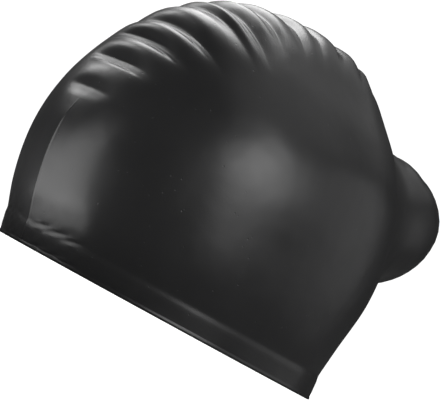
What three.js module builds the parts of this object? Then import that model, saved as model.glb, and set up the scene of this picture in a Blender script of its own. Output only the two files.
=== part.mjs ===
// Long-hair swim cap, moulded in one piece of black silicone rubber: a deep dome with gathered
// pleats over the crown, a pouch at the back for a bun of hair, and a thicker band round the rim.
// Millimetres. +Z is up and the rim lies on z = 0. The wearer looks along -Y, their left is +X.

import * as THREE from "three";

// Outside sizes of the dome.
const RIM_LENGTH = 184;
const RIM_WIDTH = 146;
const HEIGHT = 158;

// The outline in plan is a rounded ellipse: 2 is a true ellipse, more is squarer.
const PLAN_POWER = 2.1;

// The rubber wall, and what the band and the rolled edge add to it outside.
const WALL = 1;
const BAND_EXTRA = 0.4;
const EDGE_EXTRA = 0.6;

// The band stands this high, and its foot turns out this far past the dome's line.
const BAND_HEIGHT = 12.5;
const BAND_FLARE = 2.2;
const BAND_STEP = 1.2;
const EDGE_HEIGHT = 2.8;

// The dome's own line at the rim, inside what the flare, the band and the edge add to it.
const HALF_LENGTH = RIM_LENGTH / 2 - BAND_FLARE - BAND_EXTRA - EDGE_EXTRA;
const HALF_WIDTH = RIM_WIDTH / 2 - BAND_FLARE - BAND_EXTRA - EDGE_EXTRA;

// The pouch for the hair is a rounded ball that stands out of the dome's back: its middle, its half
// sizes across, along, up and down, and how softly it runs into the dome above and below it and,
// in a longer neck, beside it.
const BUN_BACK = 86.5;
const BUN_HEIGHT = 100.5;
const BUN_ACROSS = 36.5;
const BUN_ALONG = 44.5;
const BUN_UP = 31;
const BUN_DOWN = 39.5;
const BUN_BLEND = 10;
const BUN_BLEND_BESIDE = 38;

// The pouch is drawn out along lines from this point inside the dome.
const HUB_BACK = 48;
const HUB_HEIGHT = 91.5;

// The deepest pleat.
const PLEAT_DEPTH = 3.6;

// Cross-sections of the dome from the rim to the top, one for each step of latitude. The height
// follows the sine of the latitude. front, back and side are the outline's reaches from the middle
// of the rim, as shares of HALF_LENGTH, HALF_LENGTH and HALF_WIDTH.
const SECTION_STEP = 10;
const SECTIONS = [
  { latitude: 0, front: 1, back: 1, side: 1 },
  { latitude: 10, front: 1.122, back: 1.025, side: 1.076 },
  { latitude: 20, front: 1.176, back: 1.07, side: 1.1 },
  { latitude: 30, front: 1.14, back: 1.037, side: 1.092 },
  { latitude: 40, front: 1.043, back: 0.974, side: 1.013 },
  { latitude: 50, front: 0.922, back: 0.837, side: 0.832 },
  { latitude: 60, front: 0.756, back: 0.658, side: 0.624 },
  { latitude: 70, front: 0.538, back: 0.482, side: 0.445 },
  { latitude: 80, front: 0.258, back: 0.327, side: 0.247 },
  { latitude: 90, front: -0.031, back: 0.031, side: 0 },
];

// The pleats' valleys, from the forehead over the crown to the pouch. angle is counted about the
// line from ear to ear, from the rim in front, and reach sideways from the middle plane, both in
// degrees. depth is a share of PLEAT_DEPTH. The surface sinks into a valley over before degrees in
// front of it, and rises out of it over after degrees behind it.
const VALLEYS = [
  { angle: 30, reach: 12.5, depth: 0.45, before: 3.6, after: 3 },
  { angle: 38, reach: 18, depth: 0.8, before: 3.8, after: 3.2 },
  { angle: 45.4, reach: 23, depth: 0.95, before: 3.8, after: 3.2 },
  { angle: 52.2, reach: 29, depth: 1, before: 3.6, after: 3.6 },
  { angle: 61.4, reach: 31, depth: 0.8, before: 4.8, after: 2.4 },
  { angle: 66, reach: 32, depth: 0.9, before: 2.2, after: 4 },
  { angle: 72.2, reach: 28, depth: 0.75, before: 3, after: 2.4 },
  { angle: 79, reach: 29, depth: 0.85, before: 4.4, after: 2.8 },
  { angle: 84.6, reach: 29, depth: 0.75, before: 3.2, after: 2.8 },
  { angle: 91.6, reach: 27, depth: 0.8, before: 3.6, after: 3.2 },
  { angle: 98.8, reach: 25, depth: 0.55, before: 4, after: 3.6 },
  { angle: 106.4, reach: 22, depth: 0.45, before: 4, after: 4 },
  { angle: 117, reach: 20, depth: 0.45, before: 4.4, after: 4.4 },
];

// The mesh has a square field over the crown, with its lines along the pleats, and rings below it.
const FIELD_FRONT = 21;
const FIELD_BACK = 157;
const FIELD_SIDE = 58;
const FIELD_COLUMNS = 20;
const CELLS_PER_PLEAT = 4;
const PLAIN_CELL = 2.5;
const RING_ROWS = 4;

// The columns stand closer together near the middle plane, by this share.
const MIDDLE_CLOSER = 0.5;

const NORMAL_STEP = 0.004;
const RUBBER = 0x1b1b1c;

const radians = THREE.MathUtils.degToRad;

function signedPower(value, power) {
  return Math.sign(value) * Math.abs(value) ** power;
}

// A smooth rise from 0 to 1 as value goes from low to high.
function rise(value, low, high) {
  return THREE.MathUtils.smoothstep(value, low, high);
}

// A smooth curve through four values in a row, at a share of the way from the second to the third.
function blend(before, from, to, after, share) {
  const slope = (to - before) / 2;
  const nextSlope = (after - from) / 2;
  const square = share * share;
  const cube = square * share;
  const hold = 2 * cube - 3 * square + 1;
  return hold * from + (1 - hold) * to + (cube - 2 * square + share) * slope + (cube - square) * nextSlope;
}

// The row past either end of the table: mirrored through the top, or run on straight below the rim.
function sectionRow(index) {
  const last = SECTIONS.length - 1;
  if (index > last) {
    const row = SECTIONS[2 * last - index];
    return { front: -row.back, back: -row.front, side: -row.side };
  }
  if (index < 0) {
    const [first, second] = SECTIONS;
    return {
      front: 2 * first.front - second.front,
      back: 2 * first.back - second.back,
      side: 2 * first.side - second.side,
    };
  }
  return SECTIONS[index];
}

// The outline's reaches at a latitude in degrees.
function sectionAt(latitude) {
  const place = latitude / SECTION_STEP;
  const index = THREE.MathUtils.clamp(Math.floor(place), 0, SECTIONS.length - 2);
  const rows = [index - 1, index, index + 1, index + 2].map(sectionRow);
  const reach = (name) => blend(...rows.map((row) => row[name]), place - index);
  return { front: reach("front"), back: reach("back"), side: reach("side") };
}

// The plain dome's point in a direction from the middle of the rim.
function domePoint(direction) {
  const latitude = THREE.MathUtils.radToDeg(Math.asin(Math.min(direction.z, 1)));
  const level = Math.hypot(direction.x, direction.y) || 1;
  const { front, back, side } = sectionAt(latitude);
  const across = signedPower(direction.x / level, 2 / PLAN_POWER);
  const along = signedPower(direction.y / level, 2 / PLAN_POWER);
  return new THREE.Vector3(
    HALF_WIDTH * side * across,
    (HALF_LENGTH / 2) * ((back + front) * along + back - front),
    HEIGHT * direction.z,
  );
}

// How far the pouch's ball reaches from the hub along a unit direction, or 0 where it is missed.
function bunReach(direction) {
  let farthest = 0;
  for (const [halfHeight, side] of [[BUN_UP, 1], [BUN_DOWN, -1]]) {
    const scale = new THREE.Vector3(BUN_ACROSS, BUN_ALONG, halfHeight);
    const start = new THREE.Vector3(0, HUB_BACK - BUN_BACK, HUB_HEIGHT - BUN_HEIGHT).divide(scale);
    const run = direction.clone().divide(scale);
    const square = run.lengthSq();
    const half = run.dot(start);
    const inside = half * half - square * (start.lengthSq() - 1);
    const reach = inside > 0 ? (Math.sqrt(inside) - half) / square : 0;
    const rising = HUB_HEIGHT + reach * direction.z - BUN_HEIGHT;
    if (rising * side >= 0) {
      farthest = Math.max(farthest, reach);
    }
  }
  return farthest;
}

// The dome with its pouch and the flare of its band, before the pleats.
function smoothPoint(direction) {
  const hub = new THREE.Vector3(0, HUB_BACK, HUB_HEIGHT);
  const away = domePoint(direction).sub(hub);
  const dome = away.length();
  away.divideScalar(dome);
  const bun = bunReach(away);
  const beside = (Math.abs(away.x) / Math.hypot(away.x, away.z)) ** 4;
  const softness = BUN_BLEND + (BUN_BLEND_BESIDE - BUN_BLEND) * beside;
  const near = Math.max(1 - Math.abs(dome - bun) / softness, 0);
  const reach = Math.max(dome, bun) + (near * near * softness) / 4;
  const point = hub.addScaledVector(away, reach);
  const flare = BAND_FLARE * Math.max(1 - point.z / BAND_HEIGHT, 0);
  const level = Math.hypot(point.x, point.y) || 1;
  point.x += (flare * point.x) / level;
  point.y += (flare * point.y) / level;
  return point;
}

// The direction at an angle about the ear-to-ear line and an angle sideways, in degrees.
function directionAt(angle, sideways) {
  const turn = radians(angle);
  const aside = radians(sideways);
  return new THREE.Vector3(
    Math.sin(aside),
    -Math.cos(aside) * Math.cos(turn),
    Math.cos(aside) * Math.sin(turn),
  );
}

// How deep the pleats fold the surface in at a direction. Each valley is a crease with rounded
// shoulders, deepest at the middle plane.
function pleatDepth(direction) {
  const angle = THREE.MathUtils.radToDeg(Math.atan2(direction.z, -direction.y));
  const sideways = THREE.MathUtils.radToDeg(Math.asin(direction.x));
  let depth = 0;
  for (const valley of VALLEYS) {
    const behind = angle - valley.angle;
    const near = Math.max(1 - (behind > 0 ? behind / valley.after : -behind / valley.before), 0);
    const along = Math.max(1 - (sideways / valley.reach) ** 2, 0);
    depth += valley.depth * near * near * Math.sqrt(along) * along;
  }
  return PLEAT_DEPTH * depth;
}

// The outward normal of a surface, given as a function of direction.
function normalOf(surface, direction) {
  const helper = Math.abs(direction.z) < 0.9 ? new THREE.Vector3(0, 0, 1) : new THREE.Vector3(1, 0, 0);
  const first = new THREE.Vector3().crossVectors(helper, direction).normalize();
  const second = new THREE.Vector3().crossVectors(direction, first);
  const slope = (tangent) => {
    const ahead = surface(direction.clone().addScaledVector(tangent, NORMAL_STEP).normalize());
    const behind = surface(direction.clone().addScaledVector(tangent, -NORMAL_STEP).normalize());
    return ahead.sub(behind);
  };
  return slope(first).cross(slope(second)).normalize();
}

// What the band and the rolled edge add outside the wall at a height.
function rimExtra(height) {
  const band = BAND_EXTRA * rise(-height, -BAND_HEIGHT, -BAND_HEIGHT + BAND_STEP);
  const edge = EDGE_EXTRA * Math.sqrt(Math.max(1 - (height / EDGE_HEIGHT) ** 2, 0));
  return band + edge;
}

// A point of the cap's outside or inside face. The rim's own edge stays on the ground plane.
function facePoint(direction, outside) {
  const point = smoothPoint(direction);
  const height = point.z;
  const normal = normalOf(smoothPoint, direction);
  point.addScaledVector(normal, -pleatDepth(direction));
  point.addScaledVector(normal, outside ? rimExtra(height) : -WALL);
  if (direction.z <= 0) {
    point.z = 0;
  }
  return point;
}

// The angles of the field's lines: a few to each pleat, each valley on a line, and wider cells on
// the plain stretches.
function fieldAngles() {
  const stops = [FIELD_FRONT, ...VALLEYS.map((valley) => valley.angle), FIELD_BACK];
  const angles = [FIELD_FRONT];
  for (let i = 1; i < stops.length; i += 1) {
    const span = stops[i] - stops[i - 1];
    const inPleats = i > 1 && i < stops.length - 1;
    const cells = inPleats ? CELLS_PER_PLEAT : Math.ceil(span / PLAIN_CELL);
    for (let cell = 1; cell <= cells; cell += 1) {
      angles.push(stops[i - 1] + (span * cell) / cells);
    }
  }
  return angles;
}

// The directions of all the mesh's points, and its triangles. The field's points come first, then
// one ring after another down to the rim.
function meshLayout() {
  const angles = fieldAngles();
  const rows = angles.length;
  const columns = FIELD_COLUMNS + 1;
  const directions = [];
  for (const angle of angles) {
    for (let column = 0; column < columns; column += 1) {
      const place = (2 * column) / FIELD_COLUMNS - 1;
      const sideways = FIELD_SIDE * (place * (1 - MIDDLE_CLOSER) + place ** 3 * MIDDLE_CLOSER);
      directions.push(directionAt(angle, sideways));
    }
  }
  const triangles = [];
  const quad = (a, b, c, d) => triangles.push([a, b, c], [a, c, d]);
  for (let row = 0; row + 1 < rows; row += 1) {
    for (let column = 0; column + 1 < columns; column += 1) {
      const corner = row * columns + column;
      quad(corner, corner + 1, corner + 1 + columns, corner + columns);
    }
  }

  const border = [];
  for (let column = 0; column < columns - 1; column += 1) border.push(column);
  for (let row = 0; row < rows - 1; row += 1) border.push(row * columns + columns - 1);
  for (let column = columns - 1; column > 0; column -= 1) border.push((rows - 1) * columns + column);
  for (let row = rows - 1; row > 0; row -= 1) border.push(row * columns);

  const latitudeOf = (height) => Math.asin(height / HEIGHT);
  const bandTop = latitudeOf(BAND_HEIGHT);
  const bandRows = [BAND_HEIGHT - BAND_STEP, EDGE_HEIGHT, EDGE_HEIGHT * 0.75, 0].map(latitudeOf);
  let above = border;
  for (let ring = 1; ring <= RING_ROWS + bandRows.length; ring += 1) {
    const below = border.map((start) => {
      const from = directions[start];
      const top = Math.asin(from.z);
      const level = Math.hypot(from.x, from.y);
      const share = ring / RING_ROWS;
      const latitude = ring > RING_ROWS ? bandRows[ring - RING_ROWS - 1] : top + (bandTop - top) * share;
      const spread = Math.cos(latitude) / level;
      const rimmed = new THREE.Vector3(from.x * spread, from.y * spread, Math.sin(latitude));
      return directions.push(rimmed) - 1;
    });
    above.forEach((corner, i) => {
      const next = (i + 1) % above.length;
      quad(below[i], below[next], above[next], corner);
    });
    above = below;
  }
  return { directions, triangles, rim: above };
}

// The cap as one closed solid: the outside, the inside and the flat edge that joins them.
function capGeometry() {
  const { directions, triangles, rim } = meshLayout();
  const outside = directions.map((direction) => facePoint(direction, true));
  const inside = directions.map((direction) => facePoint(direction, false));
  const offset = outside.length;
  const faces = [
    ...triangles,
    ...triangles.map(([a, b, c]) => [a + offset, c + offset, b + offset]),
  ];
  rim.forEach((corner, i) => {
    const next = rim[(i + 1) % rim.length];
    faces.push([corner, corner + offset, next + offset], [corner, next + offset, next]);
  });
  const positions = [...outside, ...inside].flatMap((point) => point.toArray());
  const geometry = new THREE.BufferGeometry();
  geometry.setAttribute("position", new THREE.Float32BufferAttribute(positions, 3));
  geometry.setIndex(faces.flat());
  geometry.computeVertexNormals();
  return geometry;
}

const silicone = new THREE.MeshStandardMaterial({ color: RUBBER, roughness: 0.5, metalness: 0 });
const shell = new THREE.Mesh(capGeometry(), silicone);
shell.name = "cap_shell";

// The origin lies under the middle of the cap's whole length, pouch included.
shell.geometry.computeBoundingBox();
const reach = shell.geometry.boundingBox;
shell.position.y = -(reach.min.y + reach.max.y) / 2;

const cap = new THREE.Group();
cap.name = "swim_cap";
cap.add(shell);

export default cap;
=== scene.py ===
"""Long-hair swim cap in black silicone rubber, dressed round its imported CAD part.

The cap is one moulded shell: a deep dome with gathered pleats, a pouch for a bun of hair and a
thicker band round the rim. The scene builds the shell again with the fine relief that the mould
gives it, puts it in the CAD part's place, and stands it on a pale floor in a soft studio.

Sizes are in millimetres and are turned into metres where a mesh is made. +Z is up, the wearer
looks along -Y and their left is +X. Angles are in degrees.
"""

import logging
import math
from dataclasses import dataclass
from enum import Enum

import bpy
import numpy as np
from mathutils import Matrix, Quaternion, Vector

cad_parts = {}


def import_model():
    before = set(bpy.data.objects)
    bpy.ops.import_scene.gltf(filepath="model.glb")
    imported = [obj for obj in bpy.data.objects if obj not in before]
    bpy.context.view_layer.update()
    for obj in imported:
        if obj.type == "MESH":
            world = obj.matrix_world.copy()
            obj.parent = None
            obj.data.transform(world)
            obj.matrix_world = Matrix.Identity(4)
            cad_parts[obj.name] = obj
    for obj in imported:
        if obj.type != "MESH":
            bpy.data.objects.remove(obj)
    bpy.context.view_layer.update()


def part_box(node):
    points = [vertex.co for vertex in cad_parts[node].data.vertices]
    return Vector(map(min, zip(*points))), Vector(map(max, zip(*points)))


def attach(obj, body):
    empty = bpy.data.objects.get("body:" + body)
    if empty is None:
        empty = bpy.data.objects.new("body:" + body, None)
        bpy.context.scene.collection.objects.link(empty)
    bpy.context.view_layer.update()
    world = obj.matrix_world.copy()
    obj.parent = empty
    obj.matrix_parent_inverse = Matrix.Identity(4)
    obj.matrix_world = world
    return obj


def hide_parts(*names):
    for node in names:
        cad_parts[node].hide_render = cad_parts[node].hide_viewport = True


LOG = logging.getLogger("swim_cap")

MM = 0.001
CAP_NODE = "cap_shell"

# The photograph's frame, in pixels.
PHOTO_WIDTH = 440
PHOTO_HEIGHT = 403


class Side(Enum):
    """The two faces of the wall."""

    OUTSIDE = "outside"
    INSIDE = "inside"


class FoldForm(Enum):
    """How sharp the foot of a pleat is."""

    CREASED = "creased"
    SOFT = "soft"
    HOLLOW = "hollow"


def smooth_step(value: np.ndarray, low: float, high: float) -> np.ndarray:
    """Rises smoothly from 0 to 1 between two values.

    Args:
        value: where to read the rise.
        low: the value where the rise starts.
        high: the value where it ends.

    Returns:
        The rise at each value.
    """
    share = np.clip((value - low) / (high - low), 0, 1)
    return share * share * (3 - 2 * share)


def signed_power(value: np.ndarray, power: float) -> np.ndarray:
    """Raises to a power and keeps the sign."""
    return np.sign(value) * np.abs(value) ** power


@dataclass(frozen=True)
class Section:
    """A cross-section of the dome at one latitude.

    front, back and side are the outline's reaches, as shares of the dome's half length, half
    length and half width at the rim. They were fitted to the photograph's outline.
    """

    latitude: float
    front: float
    back: float
    side: float


@dataclass(frozen=True)
class Ripples:
    """The small ripples in the slack rubber beside the mould line, low on the forehead.

    They are two sets of waves. The leans tilt their crests, the rates change their lengths, and
    the second set is second_share as high as the first.
    """

    height: float = 0.3
    length: float = 4.6
    inner_edge: float = 1
    outer_edge: float = 36
    top: float = 32
    upward_lean: float = 0.35
    sideways_lean: float = 0.5
    sideways_rate: float = 0.8
    second_share: float = 0.5
    second_lean: float = 0.7
    second_rate: float = 1.3
    second_start: float = 1

    def height_at(self, point: np.ndarray) -> np.ndarray:
        """How far the ripples rise and sink.

        Args:
            point: points on the surface, one to a row.

        Returns:
            The height in millimetres, above and below the smooth surface.
        """
        across, height = np.abs(point[:, 0]), point[:, 2]
        wave = 2 * math.pi / self.length
        shape = np.sin(wave * (height + across * self.upward_lean))
        shape *= np.cos(wave * (across - height * self.sideways_lean) * self.sideways_rate)
        second = wave * (self.second_lean * height - across) * self.second_rate
        shape += self.second_share * np.sin(second + self.second_start)
        middle = (self.inner_edge + self.outer_edge) / 2
        half = (self.outer_edge - self.inner_edge) / 2
        shown = smooth_step(-np.abs(across - middle), -half, -half / 2)
        shown *= smooth_step(-height, -self.top, -self.top / 2)
        in_front = point[:, 1] < 0
        return self.height * shape * shown * in_front


@dataclass(frozen=True)
class RimBand:
    """The thicker band round the rim, with a rolled edge at its foot.

    The band turns out by the flare at the rim and is thicker than the wall by extra, step below
    its top. flare_round softens the start of the flare, and corner is the radius of the edge's
    lowest corner.
    """

    height: float = 12.5
    flare: float = 2.2
    flare_round: float = 0.12
    step: float = 3.4
    extra: float = 0.4
    edge_height: float = 1.4
    edge_extra: float = 0.6
    corner: float = 1.1

    def flare_at(self, height: np.ndarray) -> np.ndarray:
        """How far the band turns out past the dome's line at a height."""
        rise = 1 - height / self.height
        return self.flare * (rise + np.sqrt(rise**2 + self.flare_round**2)) / 2

    def extra_at(self, height: np.ndarray) -> np.ndarray:
        """How much the band and its edge add outside the wall.

        Args:
            height: height above the rim.

        Returns:
            The added thickness, less where the edge's foot is rounded.
        """
        band = self.extra * smooth_step(-height, -self.height, -self.height + self.step)
        edge = self.edge_extra * np.sqrt(np.maximum(1 - (height / self.edge_height) ** 2, 0))
        foot = np.clip((self.corner - height) / self.corner, 0, 1)
        rounding = self.corner * (1 - np.sqrt(1 - foot**2))
        return band + edge - rounding


@dataclass(frozen=True)
class Pouch:
    """The rounded ball at the back for a bun of hair, drawn out from a hub inside the dome.

    back and height place its middle, and across, along, up and down are its half sizes. Its neck
    is blend long above and below it, and beside_blend long beside it.
    """

    back: float = 86.5
    height: float = 100.5
    across: float = 36.5
    along: float = 44.5
    up: float = 31
    down: float = 39.5
    blend: float = 10
    beside_blend: float = 38
    beside_power: float = 4
    hub_back: float = 48
    hub_height: float = 91.5

    @property
    def hub(self) -> np.ndarray:
        """The point that the pouch is drawn out from."""
        return np.array([0, self.hub_back, self.hub_height], float)

    def blend_at(self, away: np.ndarray) -> np.ndarray:
        """How softly the pouch runs into the dome in each direction: most softly beside it."""
        beside = np.abs(away[:, 0]) / np.hypot(away[:, 0], away[:, 2])
        return self.blend + (self.beside_blend - self.blend) * beside**self.beside_power

    def reach(self, away: np.ndarray) -> np.ndarray:
        """Finds how far the ball reaches from the hub.

        Args:
            away: unit directions from the hub, one to a row.

        Returns:
            The distance to the ball's far side, or 0 where a direction misses it.
        """
        farthest = np.zeros(len(away))
        middle = np.array([0, self.back, self.height], float)
        for half_height, sign in ((self.up, 1), (self.down, -1)):
            scale = np.array([self.across, self.along, half_height])
            start = (self.hub - middle) / scale
            run = away / scale
            square = np.sum(run * run, axis=1)
            half = run @ start
            inside = half * half - square * (start @ start - 1)
            root = np.sqrt(np.maximum(inside, 0))
            reach = np.where(inside > 0, (root - half) / square, 0)
            rising = self.hub_height + reach * away[:, 2] - self.height
            farthest = np.where(rising * sign >= 0, np.maximum(farthest, reach), farthest)
        return farthest


@dataclass(frozen=True)
class Pleat:
    """One gathered pleat: the valley behind a rounded lobe.

    The surface sinks over before degrees in front of the valley and rises over after degrees
    behind it. reach is the pleat's half length sideways in degrees, and depth a share of the
    deepest pleat.
    """

    angle: float
    reach: float
    depth: float
    before: float
    after: float
    form: FoldForm = FoldForm.CREASED


@dataclass(frozen=True)
class CreaseShape:
    """The thin crease at the foot of a pleat's front slope.

    It lies ahead of the valley by some degrees, so that a narrow strip shows between the two.
    Its width is in degrees too, its depth in millimetres.
    """

    ahead: float
    width: float
    depth: float
    share_of_reach: float


CREASES = {
    FoldForm.CREASED: CreaseShape(ahead=1.25, width=0.42, depth=0.85, share_of_reach=0.72),
    FoldForm.SOFT: CreaseShape(ahead=1.6, width=0.9, depth=0.25, share_of_reach=0.6),
    FoldForm.HOLLOW: CreaseShape(ahead=1.7, width=0.55, depth=0.9, share_of_reach=0.8),
}


@dataclass(frozen=True)
class Gathers:
    """The pleats over the crown, from the forehead to the pouch.

    taper is how fast they run out sideways, and bottom_round how round their valleys are. The
    lobes between them puff out a little over the crown: the puff rises over the degrees
    puff_front, sinks over puff_back, and reaches puff_reach degrees to either side.
    """

    deepest: float = 4.2
    taper: float = 2.2
    puff: float = 1.5
    puff_reach: float = 38
    puff_front: tuple[float, float] = (30, 64)
    puff_back: tuple[float, float] = (100, 122)
    bottom_round: float = 0.12
    pleats: tuple[Pleat, ...] = (
        Pleat(30, 13, 0.42, 3.4, 2.6, FoldForm.SOFT),
        Pleat(38, 18, 0.8, 3.8, 3.2),
        Pleat(45.4, 23, 0.95, 3.8, 3.2),
        Pleat(52.2, 29, 1, 3.6, 3.6),
        Pleat(61.4, 31, 0.8, 4.8, 2.4, FoldForm.SOFT),
        Pleat(66, 32, 0.9, 2.2, 4, FoldForm.HOLLOW),
        Pleat(72.2, 28, 0.75, 3, 2.4),
        Pleat(79, 29, 0.85, 4.4, 2.8),
        Pleat(84.6, 29, 0.75, 3.2, 2.8),
        Pleat(91.6, 27, 0.8, 3.6, 3.2),
        Pleat(98.8, 25, 0.55, 4, 3.6, FoldForm.SOFT),
        Pleat(106.4, 22, 0.45, 4, 4, FoldForm.SOFT),
        Pleat(117, 20, 0.45, 4.4, 4.4, FoldForm.SOFT),
        Pleat(125, 15, 0.3, 3, 2.6, FoldForm.SOFT),
        Pleat(130.6, 14, 0.3, 2.4, 1.6, FoldForm.SOFT),
        Pleat(134, 13, 0.22, 1.6, 2.2, FoldForm.SOFT),
    )

    def depth_at(self, angle: np.ndarray, sideways: np.ndarray) -> np.ndarray:
        """How deep the pleats fold the surface in.

        Args:
            angle: degrees about the ear-to-ear line, from the rim in front.
            sideways: degrees from the middle plane.

        Returns:
            The depth in millimetres, deepest at the middle plane.
        """
        depth = np.zeros(len(angle))
        for pleat in self.pleats:
            behind = angle - pleat.angle
            span = np.where(behind > 0, pleat.after, pleat.before)
            off = np.sqrt((behind / span) ** 2 + self.bottom_round**2) - self.bottom_round
            near = np.maximum(1 - off, 0)
            along = np.maximum(1 - (sideways / pleat.reach) ** 2, 0)
            depth += self.deepest * pleat.depth * near**2 * along**self.taper
            crease = CREASES[pleat.form]
            across = (behind + crease.ahead) / crease.width
            short = np.maximum(1 - (sideways / (pleat.reach * crease.share_of_reach)) ** 2, 0)
            depth += crease.depth * np.exp(-(across**2)) * short
        along = np.maximum(1 - (sideways / self.puff_reach) ** 2, 0)
        rise = smooth_step(angle, *self.puff_front) * (1 - smooth_step(angle, *self.puff_back))
        return depth - self.puff * rise * along**2


@dataclass(frozen=True)
class MouldLine:
    """The line that the mould's two halves leave down the middle of the forehead and the nape.

    The cap is stored folded along it, so the surface also stands in a slight keel there. It runs
    from the rim to front_end degrees in front and from back_start degrees behind.
    """

    height: float = 0.3
    width: float = 0.5
    keel_height: float = 1.1
    keel_width: float = 6
    keel_round: float = 2
    foot_fade: float = 1.5
    front_end: float = 27
    back_start: float = 150
    fade: float = 5

    def height_at(self, point: np.ndarray, angle: np.ndarray, foot: float) -> np.ndarray:
        """How far the line and its keel stand out.

        Args:
            point: points on the surface, one to a row.
            angle: their degrees about the ear-to-ear line, from the rim in front.
            foot: the height where the line ends, just above the rim's edge.

        Returns:
            The height in millimetres.
        """
        front = smooth_step(-angle, -self.front_end, -self.front_end + self.fade)
        back = smooth_step(angle, self.back_start, self.back_start + self.fade)
        shown = front + back
        across = point[:, 0]
        line = self.height * np.exp(-((across / self.width) ** 2))
        line *= smooth_step(point[:, 2], foot - self.foot_fade, foot)
        off = np.sqrt(across**2 + self.keel_round**2) - self.keel_round
        keel = self.keel_height * np.exp(-off / self.keel_width)
        return shown * (line + keel)


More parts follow.
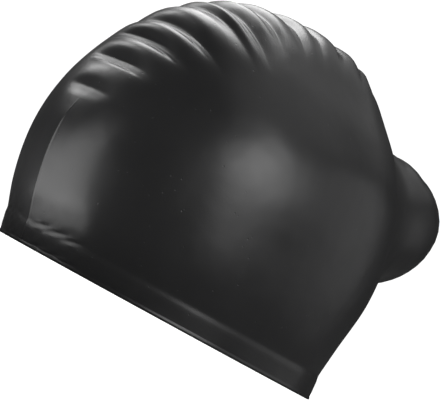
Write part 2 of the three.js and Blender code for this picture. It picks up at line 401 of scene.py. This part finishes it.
@dataclass(frozen=True)
class Dome:
    """The whole surface of the cap as a function of direction from the middle of the rim.

    Each cross-section is a superellipse with the power plan_power, and the sections stand
    section_step degrees of latitude apart. Normals are measured over normal_step radians.
    """

    rim_length: float = 184
    rim_width: float = 146
    height: float = 158
    plan_power: float = 2.1
    wall: float = 1
    section_step: float = 10
    normal_step: float = 0.004
    upright_from: float = 0.9
    rim_margin: float = 1e-9
    sections: tuple[Section, ...] = (
        Section(0, 1, 1, 1),
        Section(10, 1.122, 1.025, 1.076),
        Section(20, 1.176, 1.07, 1.1),
        Section(30, 1.14, 1.037, 1.092),
        Section(40, 1.043, 0.974, 1.013),
        Section(50, 0.922, 0.837, 0.832),
        Section(60, 0.756, 0.658, 0.624),
        Section(70, 0.538, 0.482, 0.445),
        Section(80, 0.258, 0.327, 0.247),
        Section(90, -0.031, 0.031, 0),
    )
    band: RimBand = RimBand()
    ripples: Ripples = Ripples()
    pouch: Pouch = Pouch()
    gathers: Gathers = Gathers()
    mould_line: MouldLine = MouldLine()

    @property
    def rim_extra(self) -> float:
        """What the flare, the band and the rolled edge add outside the dome's own line."""
        return self.band.flare + self.band.extra + self.band.edge_extra

    def reaches(self, latitude: np.ndarray) -> tuple[np.ndarray, np.ndarray, np.ndarray]:
        """Runs a smooth curve through the table of cross-sections.

        Args:
            latitude: degrees above the rim's plane.

        Returns:
            The outline's front, back and side shares.
        """
        table = np.array([[s.front, s.back, s.side] for s in self.sections])
        below = 2 * table[0] - table[1]
        past_top = -table[-2][[1, 0, 2]]
        table = np.vstack([below, table, past_top])
        place = latitude / self.section_step
        index = np.clip(np.floor(place).astype(int), 0, len(self.sections) - 2)
        share = (place - index)[:, None]
        before, start, end, after = (table[index + k] for k in range(4))
        square, cube = share**2, share**3
        hold = 2 * cube - 3 * square + 1
        curve = hold * start + (1 - hold) * end
        curve += (cube - 2 * square + share) * (end - before) / 2
        curve += (cube - square) * (after - start) / 2
        return curve[:, 0], curve[:, 1], curve[:, 2]

    def plain_point(self, direction: np.ndarray) -> np.ndarray:
        """The dome's own surface, without pouch, flare and relief.

        Args:
            direction: unit directions from the middle of the rim, one to a row.

        Returns:
            The points, one to a row.
        """
        latitude = np.degrees(np.arcsin(np.clip(direction[:, 2], -1, 1)))
        level = np.hypot(direction[:, 0], direction[:, 1])
        level = np.where(level > 0, level, 1)
        front, back, side = self.reaches(latitude)
        across = signed_power(direction[:, 0] / level, 2 / self.plan_power)
        along = signed_power(direction[:, 1] / level, 2 / self.plan_power)
        half_width = self.rim_width / 2 - self.rim_extra
        half_length = self.rim_length / 2 - self.rim_extra
        x = half_width * side * across
        y = half_length / 2 * ((back + front) * along + back - front)
        return np.stack([x, y, self.height * direction[:, 2]], axis=1)

    def smooth_point(self, direction: np.ndarray) -> np.ndarray:
        """The dome with its pouch and its band's flare, before the fine relief.

        Args:
            direction: unit directions from the middle of the rim, one to a row.

        Returns:
            The points, one to a row.
        """
        away = self.plain_point(direction) - self.pouch.hub
        dome = np.linalg.norm(away, axis=1)
        away = away / dome[:, None]
        ball = self.pouch.reach(away)
        blend = self.pouch.blend_at(away)
        near = np.maximum(1 - np.abs(dome - ball) / blend, 0)
        reach = np.maximum(dome, ball) + near**2 * blend / 4
        point = self.pouch.hub + away * reach[:, None]
        level = np.hypot(point[:, 0], point[:, 1])
        level = np.where(level > 0, level, 1)
        point[:, :2] *= (1 + self.band.flare_at(point[:, 2]) / level)[:, None]
        return point

    def normals(self, direction: np.ndarray) -> np.ndarray:
        """The smooth surface's outward normals.

        Args:
            direction: unit directions from the middle of the rim, one to a row.

        Returns:
            The unit normals, one to a row.
        """
        level = np.abs(direction[:, 2:]) < self.upright_from
        helper = np.where(level, [[0.0, 0.0, 1.0]], [[1.0, 0.0, 0.0]])
        first = np.cross(helper, direction)
        first /= np.linalg.norm(first, axis=1)[:, None]
        second = np.cross(direction, first)
        slopes = []
        for tangent in (first, second):
            ahead = direction + tangent * self.normal_step
            behind = direction - tangent * self.normal_step
            ahead /= np.linalg.norm(ahead, axis=1)[:, None]
            behind /= np.linalg.norm(behind, axis=1)[:, None]
            slopes.append(self.smooth_point(ahead) - self.smooth_point(behind))
        normal = np.cross(slopes[0], slopes[1])
        return normal / np.linalg.norm(normal, axis=1)[:, None]

    def face_points(self, direction: np.ndarray, side: Side) -> np.ndarray:
        """The finished surface of one face of the wall.

        Args:
            direction: unit directions from the middle of the rim, one to a row.
            side: the outside or the inside face.

        Returns:
            The points, one to a row. The rim's own edge lies on the ground plane, and the
            relief near it is drawn out level, so nothing sinks below that plane.
        """
        point = self.smooth_point(direction)
        normal = self.normals(direction)
        height = point[:, 2].copy()
        angle = np.degrees(np.arctan2(direction[:, 2], -direction[:, 1]))
        sideways = np.degrees(np.arcsin(np.clip(direction[:, 0], -1, 1)))
        offset = -self.gathers.depth_at(angle, sideways)
        if side is Side.OUTSIDE:
            offset += self.mould_line.height_at(point, angle, 2 * self.band.edge_height)
            offset += self.band.extra_at(height) + self.ripples.height_at(point)
        else:
            offset -= self.wall
        normal[:, 2] *= smooth_step(height, 0, self.band.height)
        normal /= np.linalg.norm(normal, axis=1)[:, None]
        point += normal * offset[:, None]
        on_rim = direction[:, 2] <= self.rim_margin
        point[on_rim, 2] = 0
        return point


@dataclass(frozen=True)
class ShellGrid:
    """The shell's lines: a square field over the crown, and rings from its border to the rim.

    The field spans front to back and side to side, in degrees. crease_offsets place close lines
    round each pleat's valley, least_gap or more apart, and middle_offsets beside the mould line.
    band_heights are the heights of the lowest rings.
    """

    front: float = 21
    back: float = 157
    side: float = 58
    plain_cell: float = 1.3
    least_gap: float = 0.2
    columns: int = 68
    middle_offsets: tuple[float, ...] = (0, 0.1, 0.2, 0.32, 0.46, 0.66, 1)
    crease_offsets: tuple[float, ...] = (
        -3.2, -2.6, -2.1, -1.75, -1.5, -1.25, -1, -0.75, -0.45, -0.2, 0, 0.25, 0.6, 1.1, 1.8, 2.6,
    )
    ring_rows: int = 16
    band_heights: tuple[float, ...] = (
        14.5, 13.4, 12.9, 12.5, 12.1, 11.6, 11, 10.2, 9.4, 8, 6, 4.2, 3.1, 2.8, 2.6, 2.2, 1.6,
        1.1, 0.8, 0.5, 0.25, 0.1, 0,
    )

    def angles(self, gathers: Gathers) -> list[float]:
        """The field's lines about the ear-to-ear line.

        Args:
            gathers: the pleats, whose creases get close lines.

        Returns:
            The angles in degrees, in rising order.
        """
        close = {round(p.angle + o, 4) for p in gathers.pleats for o in self.crease_offsets}
        close = {angle for angle in close if self.front < angle < self.back}
        lines = sorted(close | {self.front, self.back})
        merged = [lines[0]]
        for angle in lines[1:]:
            if angle - merged[-1] > self.least_gap:
                merged.append(angle)
        filled = [merged[0]]
        for angle in merged[1:]:
            cells = math.ceil((angle - filled[-1]) / self.plain_cell)
            filled.extend(np.linspace(filled[-1], angle, cells + 1)[1:])
        return filled

    def sideways(self) -> np.ndarray:
        """The field's lines on either side of the middle plane.

        Returns:
            The angles in degrees, in rising order.
        """
        half = np.linspace(0, self.side, self.columns // 2 + 1)
        wide = half[half > self.middle_offsets[-1]]
        right = np.concatenate([self.middle_offsets, wide])
        return np.concatenate([-right[:0:-1], right])

    def crown_field(self, gathers: Gathers) -> tuple[np.ndarray, np.ndarray]:
        """Lays out the square field over the crown.

        Args:
            gathers: the pleats, whose creases get close lines.

        Returns:
            Unit directions, one to a row, and their numbers in rows and columns.
        """
        angles = np.radians(self.angles(gathers))
        aside = np.radians(self.sideways())
        turn, lean = np.meshgrid(angles, aside, indexing="ij")
        field = np.stack(
            [np.sin(lean), -np.cos(lean) * np.cos(turn), np.cos(lean) * np.sin(turn)], axis=-1
        ).reshape(-1, 3)
        return field, np.arange(len(field)).reshape(turn.shape)

    def ring_latitudes(self, top: np.ndarray, dome_height: float) -> list[np.ndarray]:
        """Spaces the rings between the field's border and the rim.

        Args:
            top: the latitude of each point of the border, in radians.
            dome_height: the dome's height.

        Returns:
            The latitudes of each ring's points in radians, the rim's own ring last.
        """
        lowest = math.asin(self.band_heights[0] / dome_height)
        steps = range(1, self.ring_rows + 1)
        latitudes = [top + (lowest - top) * k / self.ring_rows for k in steps]
        for height in self.band_heights[1:]:
            latitudes.append(np.full(len(top), math.asin(height / dome_height)))
        return latitudes

    def layout(self, dome: Dome) -> tuple[np.ndarray, np.ndarray, np.ndarray]:
        """Lays out the directions of all points and the quads between them.

        Args:
            dome: the surface that the lines lie on.

        Returns:
            Unit directions, quads of point numbers, and the rim ring's point numbers.
        """
        field, number = self.crown_field(dome.gathers)
        corners = (number[:-1, :-1], number[:-1, 1:], number[1:, 1:], number[1:, :-1])
        quads = [np.stack([c.ravel() for c in corners], axis=1)]
        border = np.concatenate(
            [number[0, :-1], number[:-1, -1], number[-1, :0:-1], number[:0:-1, 0]]
        )
        start = field[border]
        level = np.hypot(start[:, 0], start[:, 1])
        directions = [field]
        above = border
        count = len(field)
        for latitude in self.ring_latitudes(np.arcsin(start[:, 2]), dome.height):
            spread = np.cos(latitude) / level
            ring = np.stack([start[:, 0] * spread, start[:, 1] * spread, np.sin(latitude)], axis=1)
            below = count + np.arange(len(border))
            quads.append(np.stack([below, np.roll(below, -1), np.roll(above, -1), above], axis=1))
            directions.append(ring)
            above = below
            count += len(border)
        return np.concatenate(directions), np.concatenate(quads), above


@dataclass(frozen=True)
class GrainGroup:
    """A shader node group: fine moulded grain, soft waves and stray specks on rubber.

    Its Height output is in metres, for a Bump node with a distance of 1. A speck fades between
    the two radii, in cells, and only cells whose random tone is above speck_choice have one.
    """

    name: str = "moulded_rubber_grain"
    inputs: tuple[tuple[str, float], ...] = (
        ("Grain Scale", 900.0),
        ("Grain Depth", 0.00002),
        ("Wave Scale", 70.0),
        ("Wave Depth", 0.00025),
        ("Patch Scale", 45.0),
        ("Speck Scale", 310.0),
        ("Speck Depth", -0.00007),
    )
    noise_details: tuple[tuple[str, float], ...] = (("Grain", 3.0), ("Wave", 1.0), ("Patch", 2.0))
    speck_core: float = 0.07
    speck_rim: float = 0.15
    speck_choice: float = 0.8

    def build(self) -> bpy.types.NodeTree:
        """Builds the group once.

        Returns:
            The node group, with the outputs Height, Patches and Specks.
        """
        tree = bpy.data.node_groups.get(self.name)
        if tree:
            return tree
        tree = bpy.data.node_groups.new(self.name, "ShaderNodeTree")
        for name, value in self.inputs:
            socket = tree.interface.new_socket(name, in_out="INPUT", socket_type="NodeSocketFloat")
            socket.default_value = value
        for name in ("Height", "Patches", "Specks"):
            tree.interface.new_socket(name, in_out="OUTPUT", socket_type="NodeSocketFloat")
        given = tree.nodes.new("NodeGroupInput")
        result = tree.nodes.new("NodeGroupOutput")
        place = tree.nodes.new("ShaderNodeTexCoord").outputs["Object"]
        noises = self.add_noises(tree, given, place)
        specks = self.add_specks(tree, given, place)
        reliefs = {"Grain": noises["Grain"], "Wave": noises["Wave"], "Speck": specks}
        height = self.add_height(tree, given, reliefs)
        tree.links.new(height, result.inputs["Height"])
        tree.links.new(noises["Patch"], result.inputs["Patches"])
        tree.links.new(specks, result.inputs["Specks"])
        return tree

    def add_noises(
        self, tree: bpy.types.NodeTree, given: bpy.types.Node, place: bpy.types.NodeSocket
    ) -> dict[str, bpy.types.NodeSocket]:
        """Adds the noises of the grain, the waves and the patches.

        Args:
            tree: the group's nodes.
            given: the group's input node.
            place: the place on the object.

        Returns:
            Each noise's value, by name.
        """
        noises = {}
        for name, detail in self.noise_details:
            noise = tree.nodes.new("ShaderNodeTexNoise")
            noise.inputs["Detail"].default_value = detail
            tree.links.new(place, noise.inputs["Vector"])
            tree.links.new(given.outputs[name + " Scale"], noise.inputs["Scale"])
            noises[name] = noise.outputs["Fac"]
        return noises

    def add_specks(
        self, tree: bpy.types.NodeTree, given: bpy.types.Node, place: bpy.types.NodeSocket
    ) -> bpy.types.NodeSocket:
        """Adds the stray specks: a dot in the middle of a few random cells.

        Args:
            tree: the group's nodes.
            given: the group's input node.
            place: the place on the object.

        Returns:
            The specks' mask.
        """
        cells = tree.nodes.new("ShaderNodeTexVoronoi")
        tree.links.new(place, cells.inputs["Vector"])
        tree.links.new(given.outputs["Speck Scale"], cells.inputs["Scale"])
        dot = tree.nodes.new("ShaderNodeMapRange")
        dot.inputs["From Min"].default_value = self.speck_core
        dot.inputs["From Max"].default_value = self.speck_rim
        dot.inputs["To Min"].default_value = 1.0
        dot.inputs["To Max"].default_value = 0.0
        tree.links.new(cells.outputs["Distance"], dot.inputs["Value"])
        separate = tree.nodes.new("ShaderNodeSeparateColor")
        tree.links.new(cells.outputs["Color"], separate.inputs["Color"])
        chosen = tree.nodes.new("ShaderNodeMath")
        chosen.operation = "GREATER_THAN"
        chosen.inputs[1].default_value = self.speck_choice
        tree.links.new(separate.outputs["Red"], chosen.inputs[0])
        both = tree.nodes.new("ShaderNodeMath")
        both.operation = "MULTIPLY"
        tree.links.new(dot.outputs["Result"], both.inputs[0])
        tree.links.new(chosen.outputs["Value"], both.inputs[1])
        return both.outputs["Value"]

    def add_height(
        self,
        tree: bpy.types.NodeTree,
        given: bpy.types.Node,
        reliefs: dict[str, bpy.types.NodeSocket],
    ) -> bpy.types.NodeSocket:
        """Adds up the reliefs, each times its own depth.

        Args:
            tree: the group's nodes.
            given: the group's input node.
            reliefs: each relief's value, by the name of its depth.

        Returns:
            The height in metres.
        """
        height = None
        for name, relief in reliefs.items():
            scaled = tree.nodes.new("ShaderNodeMath")
            scaled.operation = "MULTIPLY_ADD"
            tree.links.new(relief, scaled.inputs[0])
            tree.links.new(given.outputs[name + " Depth"], scaled.inputs[1])
            scaled.inputs[2].default_value = 0.0
            if height:
                tree.links.new(height, scaled.inputs[2])
            height = scaled.outputs["Value"]
        return height


@dataclass(frozen=True)
class RubberFinish:
    """A satin black silicone finish.

    The roughness varies by its spread as the patches go from patch_low to patch_high, and
    dusty_tone is the colour of the specks.
    """

    name: str
    tone: tuple[float, float, float] = (0.0076, 0.0076, 0.0079)
    dusty_tone: tuple[float, float, float] = (0.012, 0.012, 0.0124)
    roughness: float = 0.35
    roughness_spread: float = 0.04
    patch_low: float = 0.3
    patch_high: float = 0.7
    ior: float = 1.44

    def build(self, grain: GrainGroup) -> bpy.types.Material:
        """Builds the material.

        Args:
            grain: the shared grain group.

        Returns:
            The material.
        """
        material = bpy.data.materials.new(self.name)
        material.use_nodes = True
        nodes, links = material.node_tree.nodes, material.node_tree.links
        shader = nodes["Principled BSDF"]
        shader.inputs["IOR"].default_value = self.ior
        group = nodes.new("ShaderNodeGroup")
        group.node_tree = grain.build()
        colour = nodes.new("ShaderNodeMix")
        colour.data_type = "RGBA"
        colour.inputs["A"].default_value = (*self.tone, 1)
        colour.inputs["B"].default_value = (*self.dusty_tone, 1)
        links.new(group.outputs["Specks"], colour.inputs["Factor"])
        links.new(colour.outputs["Result"], shader.inputs["Base Color"])
        rough = nodes.new("ShaderNodeMapRange")
        rough.inputs["From Min"].default_value = self.patch_low
        rough.inputs["From Max"].default_value = self.patch_high
        rough.inputs["To Min"].default_value = self.roughness - self.roughness_spread
        rough.inputs["To Max"].default_value = self.roughness + self.roughness_spread
        links.new(group.outputs["Patches"], rough.inputs["Value"])
        links.new(rough.outputs["Result"], shader.inputs["Roughness"])
        bump = nodes.new("ShaderNodeBump")
        bump.inputs["Distance"].default_value = 1
        bump.inputs["Strength"].default_value = 1
        links.new(group.outputs["Height"], bump.inputs["Height"])
        links.new(bump.outputs["Normal"], shader.inputs["Normal"])
        return material


@dataclass(frozen=True)
class CapShell:
    """The cap itself: one closed shell that stands for the CAD part."""

    dome: Dome = Dome()
    grid: ShellGrid = ShellGrid()
    grain: GrainGroup = GrainGroup()
    outside_finish: RubberFinish = RubberFinish("silicone_outside")
    inside_finish: RubberFinish = RubberFinish("silicone_inside", roughness=0.5)

    def build(self) -> bpy.types.Object:
        """Builds the shell in the CAD part's place and dresses it.

        Returns:
            The shell.
        """
        directions, quads, rim = self.grid.layout(self.dome)
        outside = self.dome.face_points(directions, Side.OUTSIDE)
        inside = self.dome.face_points(directions, Side.INSIDE)
        count = len(outside)
        after = np.roll(rim, -1)
        foot = np.stack([rim, rim + count, after + count, after], axis=1)
        faces = np.concatenate([quads, quads[:, ::-1] + count, foot])
        points = np.concatenate([outside, inside]) * MM
        low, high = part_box(CAP_NODE)
        points[:, 1] += (low.y + high.y) / 2 - (points[:, 1].min() + points[:, 1].max()) / 2
        mesh = bpy.data.meshes.new("moulded_shell")
        mesh.from_pydata(points.tolist(), [], faces.tolist())
        mesh.materials.append(self.outside_finish.build(self.grain))
        mesh.materials.append(self.inside_finish.build(self.grain))
        on_inside = np.zeros(len(faces), np.int32)
        on_inside[len(quads) : 2 * len(quads)] = 1
        mesh.polygons.foreach_set("material_index", on_inside)
        mesh.polygons.foreach_set("use_smooth", np.ones(len(faces), bool))
        mesh.update()
        shell = bpy.data.objects.new("moulded_shell", mesh)
        bpy.context.scene.collection.objects.link(shell)
        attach(shell, "root")
        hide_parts(CAP_NODE)
        return shell


def direction_to(azimuth: float, elevation: float) -> Vector:
    """Turns a bearing into a direction.

    Args:
        azimuth: degrees round from the wearer's front towards their left.
        elevation: degrees above the horizon.

    Returns:
        The unit direction.
    """
    turn, rise = math.radians(azimuth), math.radians(elevation)
    return Vector(
        (math.sin(turn) * math.cos(rise), -math.cos(turn) * math.cos(rise), math.sin(rise))
    )


@dataclass(frozen=True)
class SoftPanel:
    """A rectangular softbox, in metres and degrees, that the camera doesn't see.

    lean tilts its top away from the cap, and turn rotates it about the line to the cap. radiance
    is its power for each square metre, divided by pi.
    """

    name: str
    azimuth: float
    elevation: float
    distance: float
    width: float
    height: float
    radiance: float
    lean: float = 0
    turn: float = 0

    def build(self, target: Vector) -> bpy.types.Object:
        """Places the panel so that it faces the target, but for its lean.

        Args:
            target: the point that it faces, in metres.

        Returns:
            The panel's light.
        """
        data = bpy.data.lights.new(self.name, "AREA")
        data.shape = "RECTANGLE"
        data.size = self.width
        data.size_y = self.height
        data.energy = self.radiance * math.pi * self.width * self.height
        panel = bpy.data.objects.new(self.name, data)
        panel.location = target + direction_to(self.azimuth, self.elevation) * self.distance
        facing = direction_to(self.azimuth, self.elevation - self.lean)
        spin = Quaternion((0, 0, 1), math.radians(self.turn))
        panel.rotation_euler = (facing.to_track_quat("Z", "Y") @ spin).to_euler()
        panel.visible_camera = False
        bpy.context.scene.collection.objects.link(panel)
        return panel


@dataclass(frozen=True)
class PhotoCamera:
    """The camera at the photograph's bearing and roll to the cap, but just above the floor.

    scale is the photograph's pixels per millimetre at the aim, and aim_x, aim_y the pixel where
    the aim lies. clip_start and clip_end are in metres.
    """

    azimuth: float = 50.2
    elevation: float = -3.8
    roll: float = 28.7
    distance: float = 1100
    scale: float = 2.05
    aim_height: float = 78.5
    aim_x: float = 233.4
    aim_y: float = 175
    sensor: float = 36
    clip_start: float = 0.05
    clip_end: float = 200

    def build(self, middle: float) -> bpy.types.Object:
        """Builds the camera.

        Args:
            middle: how far back the dome's middle lies, in metres.

        Returns:
            The camera.
        """
        back = direction_to(self.azimuth, self.elevation)
        level = direction_to(self.azimuth + 90, 0)
        upright = back.cross(level)
        roll = math.radians(self.roll)
        right = level * math.cos(roll) + upright * math.sin(roll)
        up = upright * math.cos(roll) - level * math.sin(roll)
        focal = self.scale * self.distance
        aim = Vector((0, middle, self.aim_height * MM))
        place = aim + back * self.distance * MM
        x, y = self.aim_x - PHOTO_WIDTH / 2, PHOTO_HEIGHT / 2 - self.aim_y
        axis = (back * focal + right * x + up * y).normalized()
        right = (right - axis * right.dot(axis)).normalized()
        up = axis.cross(right)
        data = bpy.data.cameras.new("photo_camera")
        data.sensor_width = self.sensor
        data.lens = focal / PHOTO_WIDTH * self.sensor
        data.clip_start, data.clip_end = self.clip_start, self.clip_end
        camera = bpy.data.objects.new("photo_camera", data)
        turned = Matrix((right, up, axis)).transposed().to_4x4()
        camera.matrix_world = Matrix.Translation(place) @ turned
        bpy.context.scene.collection.objects.link(camera)
        bpy.context.scene.camera = camera
        return camera


def mix_by_ray(
    tree: bpy.types.NodeTree, seen: bpy.types.Node, mirrored: bpy.types.Node, output: bpy.types.Node
) -> None:
    """Shows one shader as it is seen and another one in mirror images.

    Args:
        tree: the material's or the world's nodes.
        seen: the shader that is seen and that lights the scene.
        mirrored: the shader that glossy surfaces mirror.
        output: the tree's output node.
    """
    path = tree.nodes.new("ShaderNodeLightPath")
    mix = tree.nodes.new("ShaderNodeMixShader")
    tree.links.new(path.outputs["Is Glossy Ray"], mix.inputs["Fac"])
    tree.links.new(seen.outputs[0], mix.inputs[1])
    tree.links.new(mirrored.outputs[0], mix.inputs[2])
    tree.links.new(mix.outputs["Shader"], output.inputs["Surface"])


@dataclass(frozen=True)
class Studio:
    """The pale floor, the soft light and the camera.

    The room and the floor look white, and the cap mirrors them dimmer, as it would mirror dark
    cloths hung round a white table. The mirror images of the panels are the cap's highlights.
    """

    floor_size: float = 60
    floor_tone: float = 0.9
    mirrored_floor_tone: float = 0.04
    room_tone: float = 1.12
    mirrored_room_tone: float = 0.04
    camera: PhotoCamera = PhotoCamera()
    panels: tuple[SoftPanel, ...] = (
        SoftPanel("front_panel", -7, -1.6, 0.3, 0.09, 0.37, 3.4, lean=68),
        SoftPanel("floor_panel", 4, -30, 0.145, 0.05, 0.04, 2, lean=60),
        SoftPanel("brow_panel", -71, 27, 1.2, 0.26, 0.34, 9.5),
        SoftPanel("key_panel", 92, 20, 1.2, 0.7, 0.7, 5.2, turn=45),
        SoftPanel("low_panel", 97, 5, 1.2, 0.26, 0.12, 1.5),
        SoftPanel("ceiling_panel", 118, 64, 1.4, 1.5, 0.9, 0.55),
        SoftPanel("right_panel", 150, 14, 1.4, 1.1, 1.1, 0.7),
        SoftPanel("crown_panel", -99, 51, 1.3, 0.7, 0.8, 7.2),
        SoftPanel("top_panel", -138, 74, 1.3, 0.42, 0.42, 4.5),
        SoftPanel("back_panel", -150, 50, 1.3, 1.1, 0.8, 0.45),
    )

    def build(self, middle: float) -> None:
        """Builds the studio.

        Args:
            middle: how far back the dome's middle lies, in metres.
        """
        self.build_floor()
        self.build_room()
        target = Vector((0, middle, self.camera.aim_height * MM))
        for panel in self.panels:
            panel.build(target)
        self.camera.build(middle)

    def build_floor(self) -> bpy.types.Object:
        """Builds the floor, which looks pale and takes a soft shadow.

        Returns:
            The floor.
        """
        half = self.floor_size / 2
        mesh = bpy.data.meshes.new("floor")
        corners = [(-half, -half, 0), (half, -half, 0), (half, half, 0), (-half, half, 0)]
        mesh.from_pydata(corners, [], [(0, 1, 2, 3)])
        material = bpy.data.materials.new("floor_paint")
        material.use_nodes = True
        nodes = material.node_tree.nodes
        nodes.remove(nodes["Principled BSDF"])
        paint = nodes.new("ShaderNodeBsdfDiffuse")
        paint.inputs["Color"].default_value = (self.floor_tone,) * 3 + (1,)
        mirrored = nodes.new("ShaderNodeBsdfDiffuse")
        mirrored.inputs["Color"].default_value = (self.mirrored_floor_tone,) * 3 + (1,)
        mix_by_ray(material.node_tree, paint, mirrored, nodes["Material Output"])
        mesh.materials.append(material)
        floor = bpy.data.objects.new("floor", mesh)
        bpy.context.scene.collection.objects.link(floor)
        return floor

    def build_room(self) -> bpy.types.World:
        """Builds the white room, which the cap mirrors dimmer.

        Returns:
            The world.
        """
        world = bpy.data.worlds.new("studio_room")
        world.use_nodes = True
        nodes = world.node_tree.nodes
        room = nodes["Background"]
        mirrored = nodes.new("ShaderNodeBackground")
        for shader, tone in ((room, self.room_tone), (mirrored, self.mirrored_room_tone)):
            shader.inputs["Color"].default_value = (1, 1, 1, 1)
            shader.inputs["Strength"].default_value = tone
        mix_by_ray(world.node_tree, room, mirrored, nodes["World Output"])
        bpy.context.scene.world = world
        bpy.context.scene.view_settings.view_transform = "Standard"
        return world


def dome_middle(shell: bpy.types.Object, dome: Dome) -> float:
    """How far back the dome's own middle lies, in metres.

    Args:
        shell: the built shell.
        dome: its surface.

    Returns:
        The Y of the rim's middle.
    """
    rim = [v.co.y for v in shell.data.vertices if v.co.z < dome.band.corner * MM]
    return (min(rim) + max(rim)) / 2


def main() -> None:
    """Builds the cap and its studio, and logs the shell's face count and the number of panels."""
    logging.basicConfig(level=logging.INFO, format="%(name)s: %(message)s")
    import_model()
    cap = CapShell()
    shell = cap.build()
    LOG.info("%s: %d faces", shell.name, len(shell.data.polygons))
    studio = Studio()
    studio.build(dome_middle(shell, cap.dome))
    LOG.info("studio: floor, %d soft panels, camera", len(studio.panels))


if __name__ == "__main__":
    main()
